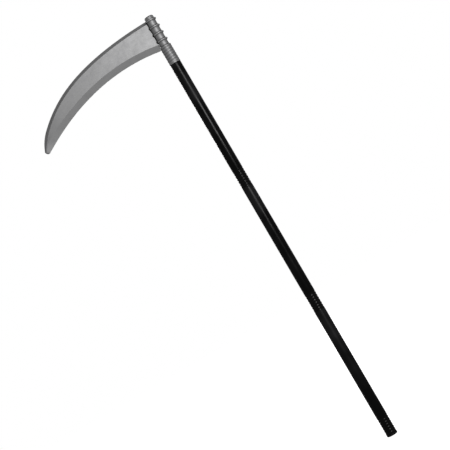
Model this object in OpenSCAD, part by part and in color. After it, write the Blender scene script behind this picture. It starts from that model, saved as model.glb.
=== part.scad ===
// Take-apart scythe prop: a hollow crescent blade let into the side of a ringed
// socket, on a pole of three tubes that screw together over threaded joiners.
// The pole stands on its foot along +Z, and the blade reaches out towards -X.

/* [Pole] */
// Outside diameter of the pole tubes
pole_d = 25; // [24:0.5:26]
// Wall of the pole tubes
pole_wall = 1.5; // [1.2:0.1:1.8]
// Length of each of the three tubes
tube_len = 309; // [200:1:400]
// Chamfer on the tube ends
tube_chamfer = 0.5; // [0.2:0.1:0.8]

/* [Thread ribs] */
// Grooves that the moulded thread leaves round each tube's lower end and the head's sleeve
groove_count = 7; // [3:1:7]
// Pitch of the thread
groove_pitch = 6.2; // [5:0.1:6.2]
// Width of each groove at the surface
groove_w = 2.4; // [1:0.1:3]
// Depth of each groove
groove_depth = 0.4; // [0.1:0.05:0.6]

/* [Joiners] */
// How far a joiner goes into each tube
joiner_half = 38; // [38:1:38]
// Turns of thread on a joiner's upper half
thread_turns = 5; // [2:1:5]
// Depth of the joiner's thread
thread_depth = 0.7; // [0.3:0.1:0.8]
// Thickness of the joiner's stop flange
flange_t = 1; // [0.6:0.1:2]
// Wall of the joiners
joiner_wall = 1.6; // [1.2:0.1:2]
// Radial clearance of the joiners and plugs
fit_gap = 0.05; // [0.02:0.01:0.1]

/* [Foot plug] */
// Thickness of the foot plug's rim
foot_rim = 3; // [2:0.5:6]
// How far the foot plug goes into the tube
foot_depth = 20; // [10:1:30]

/* [Socket] */
// Outside diameter of the ribbed sleeve
sleeve_d = 26; // [26:0.1:28]
// Length of the ribbed sleeve
sleeve_len = 43.4; // [43.4:0.1:48]
// Outside diameter of the neck at its waists
neck_d = 20.8; // [20.4:0.1:21.4]
// Diameter over the rings
ring_d = 27; // [25:0.1:29]
// Number of rings
ring_count = 4; // [4:1:4]
// Distance between rings
ring_pitch = 16.6; // [16.6:0.1:17]
// Height of the lowest ring above the sleeve's foot
first_ring = 56.8; // [56.8:0.1:57]
// Wall of the hollow neck
neck_wall = 2; // [1.8:0.1:2.2]

/* [Cap] */
// Height of the cap above the neck
cap_h = 5.6; // [4:0.1:8]
// Depth of the cap's stem in the neck
cap_stem = 8; // [4:0.5:8]

/* [Blade] */
// Thickness of the blade at its flats
blade_t = 8; // [7:0.5:8]
// Height of the spine above the sleeve's foot, at the socket
spine_z = 109.4; // [109:0.1:109.4]
// Width of the bevel along the spine
spine_bevel = 6; // [5:0.5:6]
// Width of the bevel along the cutting edge
edge_bevel = 14; // [10:0.5:16]
// Thickness of the blunt cutting edge
edge_t = 1.2; // [0.8:0.1:2]
// Thickness of the spine's edge
spine_t = 2.4; // [1.6:0.1:3]
// Wall of the two blade shells
shell_wall = 1.6; // [1.2:0.1:2]

/* [Hidden] */
$fn = 96;

black = [0.05, 0.05, 0.055];
dark_grey = [0.14, 0.14, 0.145];
silver = [0.66, 0.66, 0.67];
light_silver = [0.72, 0.72, 0.73];

pole_r = pole_d / 2;
bore_r = pole_r - pole_wall;
insert_r = bore_r - fit_gap;
tube_pitch = tube_len + flange_t;
head_z = foot_rim + 3 * tube_pitch;

// Neck and cap, in heights above the sleeve's foot
neck_r = neck_d / 2;
ring_r = ring_d / 2;
sleeve_r = sleeve_d / 2;
sleeve_bore = joiner_half + 1;
ring_foot = 2.2;
ring_tip = 0.5;
neck_flare = 0.5;
last_ring = first_ring + (ring_count - 1) * ring_pitch;
neck_top = last_ring + 4.7;
hollow_r = neck_r - neck_wall;
shoulder_round = 1.8;

// Slot and tongue that hold the blade
slot_gap = 0.15;
root_x = 8.9;
slot_floor = sleeve_len + 0.2;
tongue_t = 6;
tongue_x = 6.2;
tongue_low = 52;
tongue_high = 99;
land_u = 12.4;
land_h = 12;
guide_t = 1.5;
guide_x = 7;

// Blade curves, as distance u out from the pole's axis and height z above the sleeve's foot
hook_u = 318;
hook_z = spine_z - spine_drop(hook_u);
hook_r = 103;
hook_end = 22;
belly_u = 83;
belly_z = 43.8;
root_stations = 14;
hook_stations = 3;
tip_u = 331.5;
tip_blunt = 0.8;
edge_lag = 15;
blade_h = blade_t / 2;
peg_r = 1.5;
post_r = 3;
peg_len = 1.8;
pegs = [[40, 78], [105, 76], [175, 68], [240, 44]];

// Height lost by the spine and by the cutting edge at distance u
function spine_drop(u) = 5.82 * pow(u / 100, 2) + 0.119 * pow(u / 100, 5);
function edge_height(u) = belly_z - 12.1 * pow((u - belly_u) / 100, 2);

// Spine and edge points of the stations from the root out to the hook
function root_u(i) = root_x + (hook_u - root_x) * (1 - pow(1 - i / (root_stations - 1), 1.4));
function root_spine(i) = [root_u(i), spine_z - spine_drop(root_u(i))];
function root_edge_u(i) = root_u(i) - edge_lag * pow(sin(90 * root_u(i) / hook_u), 2);
function root_edge(i) = [root_edge_u(i), edge_height(root_edge_u(i))];

// Spine and edge points of the stations round the hook, i from 1 to hook_stations
function hook_angle(i) = 45 - (45 - hook_end) * i / hook_stations;
function hook_spine(i) = [hook_u - hook_r * (sqrt(0.5) - cos(hook_angle(i))),
                          hook_z - hook_r * (sqrt(0.5) - sin(hook_angle(i)))];
function hook_edge_u(i) = hook_u - edge_lag + (tip_u - hook_u + edge_lag) * i / hook_stations;
function hook_edge(i) = [hook_edge_u(i), edge_height(hook_edge_u(i))];

// Rounded tip between the last spine and edge points
tip_s = hook_spine(hook_stations);
tip_e = hook_edge(hook_stations);
tip_mid = (tip_s + tip_e) / 2;
tip_half = (tip_s - tip_e) / 2;
tip_out = tip_blunt * [tip_half[1], -tip_half[0]];
tip_angles = [30, 55, 75];
function tip_point(side, a) = tip_mid + side * cos(a) * tip_half + sin(a) * tip_out;

stations = concat(
    [for (i = [0 : root_stations - 1]) [root_spine(i), root_edge(i)]],
    [for (i = [1 : hook_stations]) [hook_spine(i), hook_edge(i)]],
    [for (a = tip_angles) [tip_point(1, a), tip_point(-1, a)]]
);
cavity_stations = [for (i = [1 : root_stations - 3]) stations[i]];

// Point at share k of the way from spine to edge, y out from the parting plane
function across(st, k, y) = [-(st[0][0] + (st[1][0] - st[0][0]) * k), -y,
                             st[0][1] + (st[1][1] - st[0][1]) * k];
function width(st) = norm(st[0] - st[1]);
function half_t(st) = blade_h * min(1, 0.35 + 0.65 * width(st) / 40);
function spine_k(st) = min(spine_bevel / width(st), 0.28);
function edge_k(st) = 1 - min(edge_bevel / width(st), 0.62);

// One half of the blade's cross-section, closed along the parting plane
function shell_section(st) = [
    across(st, 0, 0),
    across(st, 0, min(spine_t / 2, half_t(st) - 0.1)),
    across(st, spine_k(st), half_t(st)),
    across(st, edge_k(st), half_t(st)),
    across(st, 1, edge_t / 2),
    across(st, 1, 0)
];

// Hollow inside one half, open at the parting plane
function cavity_section(st) = [
    across(st, 0.6 * spine_k(st), -0.1),
    across(st, spine_k(st) + 0.02, half_t(st) - shell_wall),
    across(st, edge_k(st) - 0.02, half_t(st) - shell_wall),
    across(st, 0.45 + 0.55 * edge_k(st), -0.1)
];

// Solid skinned over a list of sections of equal length
module loft(sections) {
    n = len(sections[0]);
    last = len(sections) - 1;
    sides = [for (s = [0 : last - 1], i = [0 : n - 1])
        let (a = s * n + i, b = s * n + (i + 1) % n)
        each [[a, b, a + n], [b, b + n, a + n]]];
    near_end = [for (i = [n - 1 : -1 : 0]) i];
    far_end = [for (i = [0 : n - 1]) last * n + i];
    polyhedron([for (s = sections) each s], concat(sides, [near_end, far_end]));
}

// Profile points of n grooves of a given depth up a wall of radius r, the first at height z0
function grooves(r, z0, n, depth) = [for (i = [0 : n - 1])
    let (z = z0 + groove_pitch * i)
    each [[r, z - groove_w / 2], [r - depth, z - groove_w / 6],
          [r - depth, z + groove_w / 6], [r, z + groove_w / 2]]];

// Waisted length of neck between heights a and b
function waist(a, b) = [for (i = [-3 : 3])
    [neck_r + neck_flare * pow(i / 3, 2), (a + b) / 2 + (b - a) / 2 * i / 3]];

// Pointed ring at height z
function ring(z) = [[ring_r - 0.3, z - ring_tip], [ring_r, z], [ring_r - 0.3, z + ring_tip]];

module pole_tube(z) {
    c = tube_chamfer;
    color(black)
    translate([0, 0, z])
    rotate_extrude()
    polygon(concat(
        [[bore_r, 0], [pole_r - c, 0], [pole_r, c]],
        grooves(pole_r, groove_pitch / 2 + c, groove_count, groove_depth),
        [[pole_r, tube_len - c], [pole_r - c, tube_len], [bore_r, tube_len]]
    ));
}

module joiner(z) {
    tip = 1.5;
    rim = pole_r - 0.3;
    r_in = insert_r - joiner_wall;
    color(dark_grey)
    translate([0, 0, z])
    rotate_extrude()
    polygon(concat(
        [[r_in, -joiner_half], [insert_r - 0.8, -joiner_half], [insert_r, tip - joiner_half],
         [insert_r, 0], [rim, 0], [rim, flange_t], [insert_r, flange_t]],
        grooves(insert_r, flange_t + groove_pitch, thread_turns, thread_depth),
        [[insert_r, flange_t + joiner_half - tip], [insert_r - 0.8, flange_t + joiner_half],
         [r_in, flange_t + joiner_half]]
    ));
}

module foot_plug() {
    edge = 0.8;
    top = foot_rim + foot_depth;
    r_in = insert_r - joiner_wall;
    color(dark_grey)
    rotate_extrude()
    polygon([
        [0, 0], [pole_r - edge, 0], [pole_r - 0.25 * edge, 0.3 * edge], [pole_r, edge], [pole_r, foot_rim],
        [insert_r, foot_rim], [insert_r, top - 1.5], [insert_r - 0.8, top], [r_in, top],
        [r_in, foot_rim], [0, foot_rim]
    ]);
}

module pole_lower() {
    pole_tube(foot_rim);
}

module joiner_lower() {
    joiner(foot_rim + tube_len);
}

module pole_middle() {
    pole_tube(foot_rim + tube_pitch);
}

module joiner_middle() {
    joiner(foot_rim + tube_pitch + tube_len);
}

module pole_upper() {
    pole_tube(foot_rim + 2 * tube_pitch);
}

module joiner_upper() {
    joiner(foot_rim + 2 * tube_pitch + tube_len);
}

// Outside of the socket, from the sleeve's foot up to the top of the neck
socket_outline = concat(
    [[sleeve_r - 0.4, 0], [sleeve_r, 0.4]],
    grooves(sleeve_r, groove_pitch / 2, groove_count, groove_depth),
    [for (a = [0 : 22.5 : 90])
        [sleeve_r - shoulder_round * (1 - cos(a)), sleeve_len - shoulder_round * (1 - sin(a))]],
    waist(sleeve_len + 0.1, first_ring - ring_foot),
    ring(first_ring),
    [for (i = [1 : ring_count - 1]) each concat(
        waist(first_ring + (i - 1) * ring_pitch + ring_foot, first_ring + i * ring_pitch - ring_foot),
        ring(first_ring + i * ring_pitch))],
    [[neck_r + neck_flare, last_ring + ring_foot], [neck_r + 0.2, neck_top]]
);

module blade_socket() {
    slot_w = blade_t + 2 * slot_gap;
    slot_top = spine_z + 0.3;
    guide_y = tongue_t / 2 + slot_gap;
    color(silver)
    translate([0, 0, head_z]) {
        difference() {
            rotate_extrude()
            polygon(concat(
                [[bore_r, 0]],
                socket_outline,
                [[hollow_r, neck_top], [hollow_r, sleeve_bore], [bore_r, sleeve_bore]]
            ));
            translate([-ring_r - 1, -slot_w / 2, slot_floor])
            cube([ring_r + 1, slot_w, slot_top - slot_floor]);
        }
        // Walls inside the neck that guide the tongue
        intersection() {
            translate([0, 0, sleeve_bore + 5])
            cylinder(r = hollow_r + 0.3, h = tongue_high + 2 - sleeve_bore - 5);
            for (side = [-1, 1])
                translate([-guide_x, side * (guide_y + guide_t / 2) - guide_t / 2, sleeve_bore])
                cube([2 * hollow_r + guide_x, guide_t, neck_top]);
        }
    }
}

module top_cap() {
    stem_r = hollow_r - fit_gap;
    cap_r = neck_r + 0.2;
    color(light_silver)
    translate([0, 0, head_z + neck_top])
    rotate_extrude()
    polygon(concat(
        [[0, cap_h - 1.6], [stem_r - 1.6, cap_h - 1.6], [stem_r - 1.6, -cap_stem],
         [stem_r - 0.4, -cap_stem], [stem_r, 0.8 - cap_stem], [stem_r, 0],
         [cap_r - 0.3, 0], [cap_r, 0.3], [cap_r, 0.35 * cap_h]],
        [for (a = [30 : 30 : 90])
            [cap_r - 1.6 - 0.8 * (1 - cos(a)), cap_h - 0.8 * (1 - sin(a))]],
        [[0, cap_h]]
    ));
}

// The half of the blade on the -Y side of the parting plane, with half the tongue
module blade_half() {
    notch_x = sleeve_r + 0.3;
    difference() {
        loft([for (st = stations) shell_section(st)]);
        loft([for (st = cavity_stations) cavity_section(st)]);
        // Room for the sleeve's shoulder under the root's lower corner
        translate([-notch_x, -blade_t, 0])
        cube([notch_x, 2 * blade_t, slot_floor + 0.3]);
    }
    translate([-root_x - 0.5, -tongue_t / 2, tongue_low])
    cube([root_x + 0.5 + tongue_x, tongue_t / 2, tongue_high - tongue_low]);
    // Land of almost full thickness beside the socket, where the edge's bevel stops short
    translate([-land_u, 0.1 - blade_h, slot_floor + 0.3])
    cube([land_u - root_x - 0.1, blade_h - 0.1, land_h]);
    // Posts under the face that the pegs sit on
    for (p = pegs)
        translate([-p[0], 0, p[1]])
        rotate([90, 0, 0])
        cylinder(r = post_r, h = blade_h - 0.5 * shell_wall);
}

module blade_front() {
    color(light_silver)
    translate([0, 0, head_z])
    difference() {
        blade_half();
        for (p = pegs)
            translate([-p[0], 0.01, p[1]])
            rotate([90, 0, 0])
            cylinder(r = peg_r + fit_gap, h = peg_len + 0.3);
    }
}

module blade_rear() {
    color(silver)
    translate([0, 0, head_z]) {
        mirror([0, 1, 0])
        blade_half();
        for (p = pegs)
            translate([-p[0], 0.5, p[1]])
            rotate([90, 0, 0])
            cylinder(r = peg_r, h = peg_len + 0.5);
    }
}

foot_plug();
pole_lower();
joiner_lower();
pole_middle();
joiner_middle();
pole_upper();
joiner_upper();
blade_socket();
top_cap();
blade_front();
blade_rear();
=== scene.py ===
import math
from collections import namedtuple

import bmesh
import bpy
from mathutils import Matrix, Vector


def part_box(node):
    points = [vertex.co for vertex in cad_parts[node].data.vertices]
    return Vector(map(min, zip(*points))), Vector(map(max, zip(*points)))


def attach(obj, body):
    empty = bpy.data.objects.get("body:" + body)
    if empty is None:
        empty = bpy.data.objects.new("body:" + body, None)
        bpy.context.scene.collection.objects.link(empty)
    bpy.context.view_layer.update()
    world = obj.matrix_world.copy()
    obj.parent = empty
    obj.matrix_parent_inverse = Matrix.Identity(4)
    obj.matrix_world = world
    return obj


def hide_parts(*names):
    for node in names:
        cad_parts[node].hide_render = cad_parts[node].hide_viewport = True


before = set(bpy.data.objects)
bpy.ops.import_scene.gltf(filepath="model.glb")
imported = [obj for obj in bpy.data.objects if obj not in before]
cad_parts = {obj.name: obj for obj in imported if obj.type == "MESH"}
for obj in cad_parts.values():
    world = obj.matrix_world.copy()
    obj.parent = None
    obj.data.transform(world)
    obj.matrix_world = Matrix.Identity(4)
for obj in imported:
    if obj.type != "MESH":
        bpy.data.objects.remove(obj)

# A take-apart costume scythe: a hollow crescent blade of two moulded shells, let into the side
# of a ringed socket, on three black tubes that screw together over threaded joiners.
# Z is the pole's own axis, the blade reaches out towards -X, and -Y is the front.

MM = 0.001
TURN = 2 * math.pi
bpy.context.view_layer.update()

# Places and main sizes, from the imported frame
FOOT_RIM_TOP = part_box("pole_lower")[0].z
POLE_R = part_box("pole_lower")[1].x
HEAD_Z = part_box("blade_socket")[0].z
CAP_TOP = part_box("top_cap")[1].z
NECK_TOP = CAP_TOP - 5.6 * MM
RING_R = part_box("blade_socket")[1].x
BLADE_HALF = -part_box("blade_front")[0].y

# Tubes and joiners
BORE_R = POLE_R - 1.5 * MM
INSERT_R = BORE_R - 0.05 * MM
JOINER_WALL = 1.6 * MM
JOINER_HALF = 38 * MM
FLANGE_T = 1 * MM
FLANGE_R = POLE_R - 0.3 * MM
PLUG_DEPTH = 20 * MM
LEAD_IN = 0.6 * MM
LEAD_LENGTH = 1.2 * MM

# Thread, right-handed: the ribs outside follow the thread inside
PITCH = 6.2 * MM
THREAD_BAND = 7 * PITCH
RIB_DEPTH = 0.7 * MM
BORE_DEPTH = 0.3 * MM
SLEEVE_DEPTH = 0.6 * MM
THREAD_DEPTH = 0.65 * MM
GROOVE_HALF = 1.5 * MM
RIB_HALF = PITCH / 2
ROWS_PER_TURN = 10
SEGMENTS = 96

# Socket: radii, half widths, and heights above the sleeve's foot
SLEEVE_R = 13 * MM
SLEEVE_LEN = 43.4 * MM
SLEEVE_BORE = 39 * MM
NECK_R = 10.4 * MM
NECK_FLARE = 0.5 * MM
HOLLOW_R = 8.4 * MM
FIRST_RING = 56.8 * MM
RING_PITCH = 16.6 * MM
RING_COUNT = 4
RING_FOOT = 2.5 * MM
SLOT_HALF = 4.15 * MM
SLOT_FLOOR = 43.6 * MM
SLOT_TOP = 109.7 * MM
MOUTH_HALF = 5.2 * MM
MOUTH_X = 9.1 * MM
RING_FLAT_X = 10.2 * MM
CUT_STEP = 0.2 * MM
GUIDE_GAP = 0.15 * MM
GUIDE_WALL = 1.5 * MM
GUIDE_LOW = Vector((-7, 0, 44)) * MM
GUIDE_HIGH = Vector((7.9, 0, 101)) * MM

# Rebate in the blade's root: gaps beside the waists and rings, and reach to either side of a ring
REBATE_GAP = 1.6 * MM
REBATE_RING_GAP = 0.7 * MM
REBATE_LOW = 43 * MM
REBATE_FLOOR = 2.7 * MM
REBATE_RING_HALF = 1.8 * MM
REBATE_RING_FOOT = 4.2 * MM
REBATE_ROUNDING = 0.4 * MM

# Blade outline, in mm: U is out from the pole's axis, and Z is up from the sleeve's foot
ROOT_U = 8.9
LAND_U = 12.4
LAND_LEAN = 0.7
NOTCH_U = 13.3
NOTCH_Z = 43.9
NOTCH_STEP = 0.02
SPINE_Z = 109.4
SPINE_BOW = 5.82
SPINE_DIVE = 0.119
HOOK_U = 318
HOOK_R = 103
HOOK_START = 45
HOOK_END = 22
BELLY_U = 83
BELLY_Z = 43.8
BELLY_BOW = 12.1
TIP_U = 331.5
TIP_BLUNT = 0.8
TIP_ANGLES = (15, 30, 45, 60, 72, 82)
EDGE_LAG = 15
SPINE_BEVEL = 7
SPINE_BEVEL_SHARE = 0.28
EDGE_BEVEL = 14
EDGE_BEVEL_SHARE = 0.62
BLADE_STATIONS = 26
STATION_CROWDING = 1.4
HOOK_STATIONS = 7

# Blade thickness and inside, in mm
SPINE_HALF = 1.2
EDGE_HALF = 0.6
TIP_HALF_SHARE = 0.35
TAPER_WIDTH = 40
SHELL_WALL = 1.6
SOLID_ROOT_SLICES = 5
SOLID_TIP_SLICES = 9
SEAM_GAP = 0.02
TONGUE_HALF = 3
TONGUE_X = 6.2
TONGUE_LOW = 52
TONGUE_HIGH = 99
PEGS = ((40, 78), (105, 76), (175, 68), (240, 44))
PEG_R = 1.5
PEG_REACH = 1.8
POST_R = 3
POST_HOLE = 2.1
POST_CHAMFER = 0.25

# A point of a turned profile: how deep the thread is there, how much paler it is made (worn plastic, and
# painted light on the socket) and how much hollow tint it takes (painted shade on silver, pale dust on
# black)
Row = namedtuple("Row", "radius height thread wear recess", defaults=(0, 0, 0))


def put_in_scene(name, data):
    """A new object in the scene, for a mesh, a lamp or a camera."""
    thing = bpy.data.objects.new(name, data)
    bpy.context.scene.collection.objects.link(thing)
    return thing


def mesh_of(cage, name):
    """The cage's mesh. The cage is freed."""
    mesh = bpy.data.meshes.new(name)
    cage.to_mesh(mesh)
    cage.free()
    return mesh


# Camera, light and floor

def look_at_front():
    """A long lens, level with the middle of the scythe, rolled so that the pole leans to the left."""
    lean = math.radians(30.32)
    distance = 2.6
    width_seen = 0.976
    middle = Vector((-0.0842, -distance, 0.5754))
    data = bpy.data.cameras.new("camera")
    data.sensor_width = 36
    data.lens = data.sensor_width * distance / width_seen
    camera = put_in_scene("camera", data)
    up = Vector((math.sin(lean), 0, math.cos(lean)))
    right = Vector((math.cos(lean), 0, -math.sin(lean)))
    back = Vector((0, -1, 0))
    camera.matrix_world = matrix_of(right, up, back, middle)
    bpy.context.scene.camera = camera


def matrix_of(right, up, back, place):
    """The matrix of an object whose own axes point along right, up and back."""
    turn = Matrix((right, up, back)).transposed().to_4x4()
    return Matrix.Translation(place) @ turn


def softbox(name, place, target, width, height, power):
    """A rectangular lamp that faces a point."""
    data = bpy.data.lights.new(name, "AREA")
    data.shape = "RECTANGLE"
    data.size = width
    data.size_y = height
    data.energy = power
    lamp = put_in_scene(name, data)
    back = (Vector(place) - Vector(target)).normalized()
    right = Vector((0, 0, 1)).cross(back).normalized()
    lamp.matrix_world = matrix_of(right, back.cross(right), back, Vector(place))
    return lamp


def light_room():
    """White surroundings for the eye, dim ones for the light that falls on the plastic."""
    world = bpy.data.worlds.new("studio")
    bpy.context.scene.world = world
    world.use_nodes = True
    tree = world.node_tree
    tree.nodes.clear()
    path = tree.nodes.new("ShaderNodeLightPath")
    path.label = "tells the eye's rays from the rest"
    path.location = (-400, 200)
    dim = tree.nodes.new("ShaderNodeBackground")
    dim.label = "dim studio round the scythe"
    dim.location = (-200, 0)
    dim.inputs["Color"].default_value = (1, 1, 1, 1)
    dim.inputs["Strength"].default_value = 0.16
    white = tree.nodes.new("ShaderNodeBackground")
    white.label = "white paper behind it"
    white.location = (-200, -150)
    white.inputs["Color"].default_value = (1, 1, 1, 1)
    white.inputs["Strength"].default_value = 1.0
    chosen = tree.nodes.new("ShaderNodeMixShader")
    chosen.label = "one or the other"
    chosen.location = (50, 100)
    out = tree.nodes.new("ShaderNodeOutputWorld")
    out.location = (250, 100)
    tree.links.new(path.outputs["Is Camera Ray"], chosen.inputs["Fac"])
    tree.links.new(dim.outputs["Background"], chosen.inputs[1])
    tree.links.new(white.outputs["Background"], chosen.inputs[2])
    tree.links.new(chosen.outputs["Shader"], out.inputs["Surface"])
    softbox("key_softbox", place=(0.72, -2.35, 1.42), target=(-0.02, 0, 0.85),
            width=0.8, height=1.0, power=25)
    rear = softbox("rear_softbox", place=(-0.3, 2.6, 1.3), target=(-0.1, 0, 0.8),
                   width=0.6, height=1.0, power=22)
    rear.visible_camera = False
    bpy.context.scene.view_settings.view_transform = "Standard"


def lay_floor():
    """A pale floor, just under the foot."""
    mesh = bpy.data.meshes.new("floor")
    half = 4
    level = -0.0005
    corners = [(-half, -half, level), (half, -half, level), (half, half, level), (-half, half, level)]
    mesh.from_pydata(corners, [], [(0, 1, 2, 3)])
    floor = put_in_scene("floor", mesh)
    material = bpy.data.materials.new("pale_floor")
    material.use_nodes = True
    paper = material.node_tree.nodes["Principled BSDF"]
    paper.inputs["Base Color"].default_value = (0.85, 0.85, 0.85, 1)
    paper.inputs["Roughness"].default_value = 0.9
    paper.inputs["Emission Color"].default_value = (1, 1, 1, 1)
    paper.inputs["Emission Strength"].default_value = 0.95
    mesh.materials.append(material)
    floor.visible_glossy = False
    floor.visible_diffuse = False


# Materials

def moulded_silver(name, grey, metal, roughness, stretch, paling, painted_shade):
    """Silver-pigmented plastic: flow streaks, clouds of pigment, paler ridges and painted shade in the
    hollows.

    The paler ridges are partly worn plastic and partly painted light on the socket's rings and cap.
    stretch squeezes the streaks' pattern along X, Y and Z, paling is how much paler the ridges are,
    and painted_shade is how dark the painted shade in the hollows is."""
    material = bpy.data.materials.new(name)
    material.use_nodes = True
    tree = material.node_tree
    nodes = tree.nodes
    links = tree.links
    nodes.clear()

    out = nodes.new("ShaderNodeOutputMaterial")
    out.location = (1400, 0)
    plastic = nodes.new("ShaderNodeBsdfPrincipled")
    plastic.label = "silver plastic"
    plastic.location = (1100, 0)
    plastic.inputs["Metallic"].default_value = metal
    links.new(plastic.outputs["BSDF"], out.inputs["Surface"])

    place = nodes.new("ShaderNodeTexCoord")
    place.label = "place on the piece"
    place.location = (-1300, 0)

    pigment = nodes.new("NodeFrame")
    pigment.label = "pigment: clouds and flow streaks"
    squeeze = nodes.new("ShaderNodeMapping")
    squeeze.label = "streaks follow the melt"
    squeeze.inputs["Scale"].default_value = stretch
    streaks = nodes.new("ShaderNodeTexNoise")
    streaks.label = "flow streaks"
    streaks.inputs["Scale"].default_value = 60
    streaks.inputs["Detail"].default_value = 4
    streaks.inputs["Distortion"].default_value = 0.6
    clouds = nodes.new("ShaderNodeTexNoise")
    clouds.label = "clouds of pigment"
    clouds.inputs["Scale"].default_value = 22
    clouds.inputs["Detail"].default_value = 3
    flakes = nodes.new("ShaderNodeTexNoise")
    flakes.label = "metal flakes"
    flakes.inputs["Scale"].default_value = 2600
    flakes.inputs["Detail"].default_value = 2
    streak_tone = nodes.new("ShaderNodeMapRange")
    streak_tone.label = "streaks lighten and darken"
    streak_tone.inputs["From Min"].default_value = 0.3
    streak_tone.inputs["From Max"].default_value = 0.7
    streak_tone.inputs["To Min"].default_value = 0.96
    streak_tone.inputs["To Max"].default_value = 1.04
    cloud_tone = nodes.new("ShaderNodeMapRange")
    cloud_tone.label = "clouds lighten and darken"
    cloud_tone.inputs["From Min"].default_value = 0.3
    cloud_tone.inputs["From Max"].default_value = 0.7
    cloud_tone.inputs["To Min"].default_value = 0.98
    cloud_tone.inputs["To Max"].default_value = 1.02
    flake_tone = nodes.new("ShaderNodeMapRange")
    flake_tone.label = "flakes glint"
    flake_tone.inputs["From Min"].default_value = 0.35
    flake_tone.inputs["From Max"].default_value = 0.65
    flake_tone.inputs["To Min"].default_value = 0.985
    flake_tone.inputs["To Max"].default_value = 1.015
    both_tones = nodes.new("ShaderNodeMath")
    both_tones.label = "streaks on clouds"
    both_tones.operation = "MULTIPLY"
    all_tones = nodes.new("ShaderNodeMath")
    all_tones.label = "flakes on both"
    all_tones.operation = "MULTIPLY"
    body_colour = nodes.new("ShaderNodeMix")
    body_colour.label = "pigment's grey"
    body_colour.data_type = "RGBA"
    body_colour.blend_type = "MULTIPLY"
    body_colour.inputs["Factor"].default_value = 1
    body_colour.inputs["A"].default_value = (grey, grey, grey * 1.012, 1)
    for node, spot in (
        (squeeze, (-1100, 300)), (streaks, (-900, 350)), (clouds, (-900, 100)), (flakes, (-900, -150)),
        (streak_tone, (-700, 350)), (cloud_tone, (-700, 100)), (flake_tone, (-700, -150)),
        (both_tones, (-500, 250)), (all_tones, (-350, 100)), (body_colour, (-150, 200)),
    ):
        node.parent = pigment
        node.location = spot
    links.new(place.outputs["Object"], squeeze.inputs["Vector"])
    links.new(squeeze.outputs["Vector"], streaks.inputs["Vector"])
    links.new(place.outputs["Object"], clouds.inputs["Vector"])
    links.new(place.outputs["Object"], flakes.inputs["Vector"])
    links.new(streaks.outputs["Fac"], streak_tone.inputs["Value"])
    links.new(clouds.outputs["Fac"], cloud_tone.inputs["Value"])
    links.new(flakes.outputs["Fac"], flake_tone.inputs["Value"])
    links.new(streak_tone.outputs["Result"], both_tones.inputs[0])
    links.new(cloud_tone.outputs["Result"], both_tones.inputs[1])
    links.new(both_tones.outputs["Value"], all_tones.inputs[0])
    links.new(flake_tone.outputs["Result"], all_tones.inputs[1])
    links.new(all_tones.outputs["Value"], body_colour.inputs["B"])

    handling = nodes.new("NodeFrame")
    handling.label = "handling: rubbed ridges and grime"
    ridge = nodes.new("ShaderNodeAttribute")
    ridge.label = "how near a ridge"
    ridge.attribute_name = "wear"
    patches = nodes.new("ShaderNodeTexNoise")
    patches.label = "rubbing comes in patches"
    patches.inputs["Scale"].default_value = 160
    patches.inputs["Detail"].default_value = 5
    patches.inputs["Roughness"].default_value = 0.65
    patch_edge = nodes.new("ShaderNodeMapRange")
    patch_edge.label = "patches with soft edges"
    patch_edge.inputs["From Min"].default_value = 0.36
    patch_edge.inputs["From Max"].default_value = 0.56
    # Ridges are made paler in patches: partly worn plastic, partly painted light on the socket's rings and
    # cap.
    paled = nodes.new("ShaderNodeMath")
    paled.label = "rubbed places"
    paled.operation = "MULTIPLY"
    paled_colour = nodes.new("ShaderNodeMix")
    paled_colour.label = "worn and painted-lit ridges lighten"
    paled_colour.data_type = "RGBA"
    paled_colour.inputs["B"].default_value = (grey * paling, grey * paling, grey * paling, 1)
    hollow = nodes.new("ShaderNodeAttribute")
    hollow.label = "how deep in a hollow"
    hollow.attribute_name = "recess"
    # Where a piece marks a hollow or crease, its colour is mixed towards near black: painted shade, not
    # dirt.
    hollow_tint = nodes.new("ShaderNodeMath")
    hollow_tint.label = "grime that lies there"
    hollow_tint.operation = "MULTIPLY"
    hollow_tint.inputs[1].default_value = painted_shade
    painted_shade_colour = nodes.new("ShaderNodeMix")
    painted_shade_colour.label = "grime darkens"
    painted_shade_colour.data_type = "RGBA"
    painted_shade_colour.inputs["B"].default_value = (0.02, 0.02, 0.019, 1)
    for node, spot in (
        (ridge, (-900, -450)), (patches, (-900, -650)), (patch_edge, (-700, -650)),
        (paled, (-500, -500)), (paled_colour, (100, 100)), (hollow, (-900, -900)),
        (hollow_tint, (-500, -850)), (painted_shade_colour, (350, 50)),
    ):
        node.parent = handling
        node.location = spot
    links.new(place.outputs["Object"], patches.inputs["Vector"])
    links.new(patches.outputs["Fac"], patch_edge.inputs["Value"])
    links.new(ridge.outputs["Fac"], paled.inputs[0])
    links.new(patch_edge.outputs["Result"], paled.inputs[1])
    links.new(paled.outputs["Value"], paled_colour.inputs["Factor"])
    links.new(body_colour.outputs["Result"], paled_colour.inputs["A"])
    links.new(hollow.outputs["Fac"], hollow_tint.inputs[0])
    links.new(hollow_tint.outputs["Value"], painted_shade_colour.inputs["Factor"])
    links.new(paled_colour.outputs["Result"], painted_shade_colour.inputs["A"])
    links.new(painted_shade_colour.outputs["Result"], plastic.inputs["Base Color"])

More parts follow.
